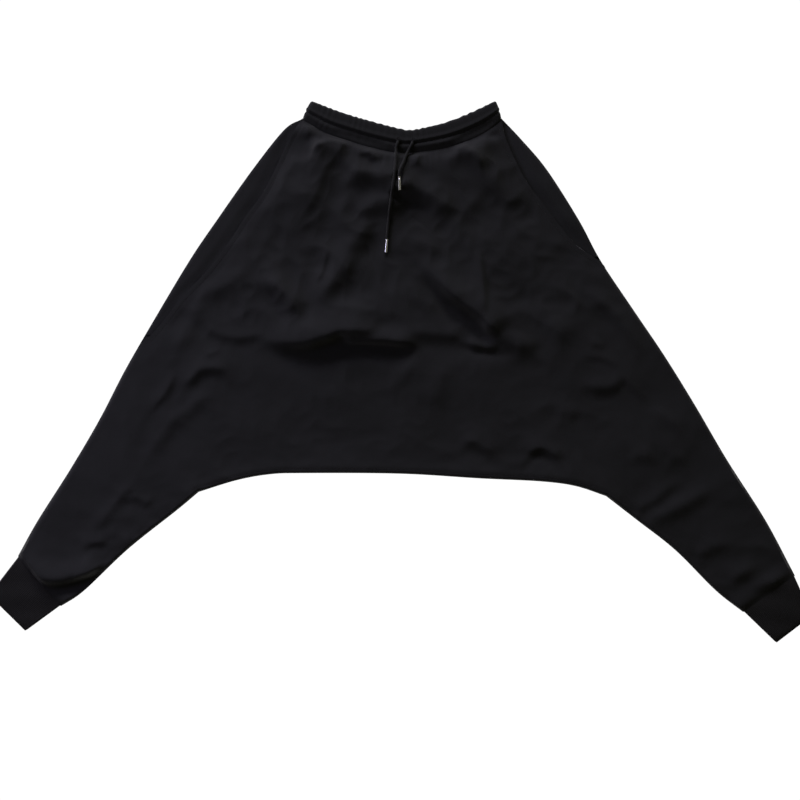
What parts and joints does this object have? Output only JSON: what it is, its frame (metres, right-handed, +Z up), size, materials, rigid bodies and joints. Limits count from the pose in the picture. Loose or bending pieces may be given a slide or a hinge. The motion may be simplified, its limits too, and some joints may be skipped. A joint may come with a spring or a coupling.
{
  "type": "harem pants",
  "caption": "Black harem pants with a dropped crotch, gathered drawstring waistband, slanted pockets and rib cuffs, laid flat with the front up.",
  "frame": {"origin": "middle of the garment's box, on the table it lies on", "axes": "+Z up from the table, +Y towards the waistband, +X towards the wearer's left leg"},
  "size_m": [1.4, 0.9201, 0.0281],
  "materials": {
    "jersey": "matt, lightly brushed",
    "rib": "matt rib knit",
    "cord": "matt braid",
    "metal": "polished"
  },
  "bodies": {
    "root": {"back_panel": "jersey", "front_panel": "jersey", "pocket_facing_right": "jersey", "pocket_facing_left": "jersey", "waistband": "jersey", "cuff_right": "rib", "cuff_left": "rib", "drawstring_long": "cord", "drawstring_short": "cord", "tip_long": "metal", "tip_short": "metal"}
  },
  "joints": []
}
